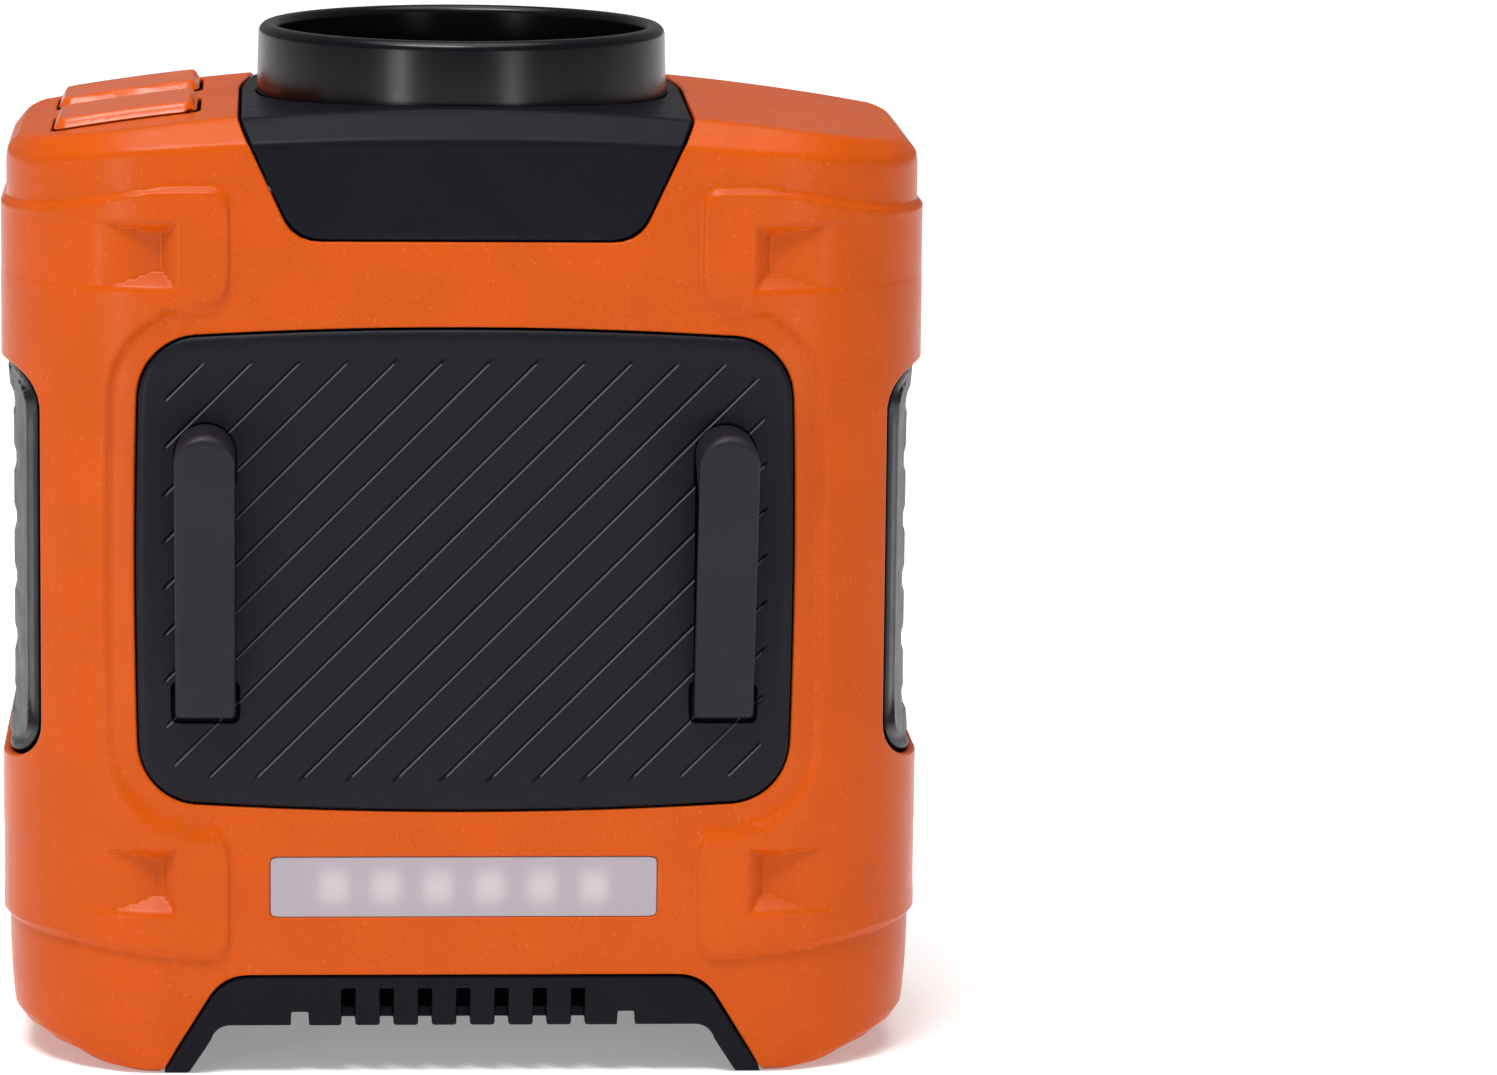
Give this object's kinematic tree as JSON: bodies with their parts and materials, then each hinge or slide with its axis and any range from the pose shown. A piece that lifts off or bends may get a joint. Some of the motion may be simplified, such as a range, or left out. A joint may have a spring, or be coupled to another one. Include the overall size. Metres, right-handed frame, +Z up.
{
  "type": "belt-clip cooling fan with work light",
  "caption": "Waist-worn cooling fan in an orange and black rugged case: round air outlet on top, diffused light strip, belt clips, shoulder keys and side grips.",
  "frame": {"origin": "middle of the whole object's footprint, clips included, on the plane it stands on", "axes": "+Z up along the air outlet, -Y towards the face with the belt clips, +X to the right seen from that face"},
  "size_m": [0.1088, 0.0672, 0.1213],
  "materials": {
    "shell_orange": "satin moulded ABS with a fine grain",
    "key_orange": "satin moulded plastic",
    "trim_black": "fine matt grain",
    "ring_black": "semi-gloss",
    "panel_black": "fine matt grain, grooved",
    "clip_black": "satin",
    "inner_black": "plain moulded",
    "impeller_grey": "glossy moulded",
    "grip_rubber": "matt soft-touch",
    "cover_rubber": "matt",
    "lamp_lens": "frosted diffuser",
    "lamp_chip": "phosphor",
    "board_white": "white solder mask",
    "board_green": "solder mask",
    "switch_black": "moulded",
    "cell_wrap": "shrink sleeve",
    "motor_copper": "enamelled winding",
    "motor_steel": "drawn can",
    "bearing_steel": "ground",
    "screw_steel": "black zinc",
    "port_steel": "plated"
  },
  "bodies": {
    "housing": {"front_shell": "shell_orange", "rear_shell": "shell_orange", "housing_screws": "screw_steel", "collar_front": "trim_black", "collar_rear": "trim_black", "outlet_ring": "ring_black", "outlet_guard": "trim_black", "fan_duct": "inner_black", "motor_mount": "inner_black", "motor_stator": "motor_copper", "motor_bearing_lower": "bearing_steel", "motor_bearing_upper": "bearing_steel", "clip_plate": "panel_black", "clip_pin_left": "clip_black", "clip_pin_right": "clip_black", "rear_panel": "panel_black", "led_window": "lamp_lens", "led_board": "board_white", "led_chips": "lamp_chip", "grip_right": "grip_rubber", "grip_left": "grip_rubber", "base_grille": "trim_black", "key_board": "board_green", "key_switches": "switch_black", "battery_cradle_left": "inner_black", "battery_cradle_right": "inner_black", "main_board": "board_green", "usb_c_port": "port_steel", "port_cover_pin": "bearing_steel", "battery_cell_left_front": "cell_wrap", "battery_cell_left_rear": "cell_wrap", "battery_cell_right_front": "cell_wrap", "battery_cell_right_rear": "cell_wrap"},
    "rotor": {"impeller": "impeller_grey", "motor_rotor": "motor_steel", "motor_shaft": "bearing_steel"},
    "fan_key": {"key_fan": "key_orange"},
    "light_key": {"key_light": "key_orange"},
    "left_clip": {"clip_left": "clip_black"},
    "right_clip": {"clip_right": "clip_black"},
    "cover": {"port_cover": "cover_rubber"}
  },
  "joints": [
    {"name": "impeller_spin", "type": "hinge", "parent": "housing", "child": "rotor", "pos_m": [0, 0.0066, 0.09], "axis": [0, 0, 1], "continuous": true},
    {"name": "fan_key_press", "type": "slide", "parent": "housing", "child": "fan_key", "axis": [0, 0, -1], "range_m": [0, 0.0006], "stiffness_N_per_m": 2000, "springref_m": -0.0004},
    {"name": "light_key_press", "type": "slide", "parent": "housing", "child": "light_key", "axis": [0, 0, -1], "range_m": [0, 0.0006], "stiffness_N_per_m": 2000, "springref_m": -0.0004},
    {"name": "left_clip_flex", "type": "hinge", "parent": "housing", "child": "left_clip", "pos_m": [-0.0302, -0.0224, 0.074], "axis": [-1, 0, 0], "range_deg": [0, 9], "stiffness_Nm_per_rad": 4},
    {"name": "right_clip_flex", "type": "hinge", "parent": "housing", "child": "right_clip", "pos_m": [0.0302, -0.0224, 0.074], "axis": [-1, 0, 0], "range_deg": [0, 9], "stiffness_Nm_per_rad": 4},
    {"name": "port_cover_swing", "type": "hinge", "parent": "housing", "child": "cover", "pos_m": [0, 0.0317, 0.0185], "axis": [-1, 0, 0], "range_deg": [0, 100]}
  ]
}
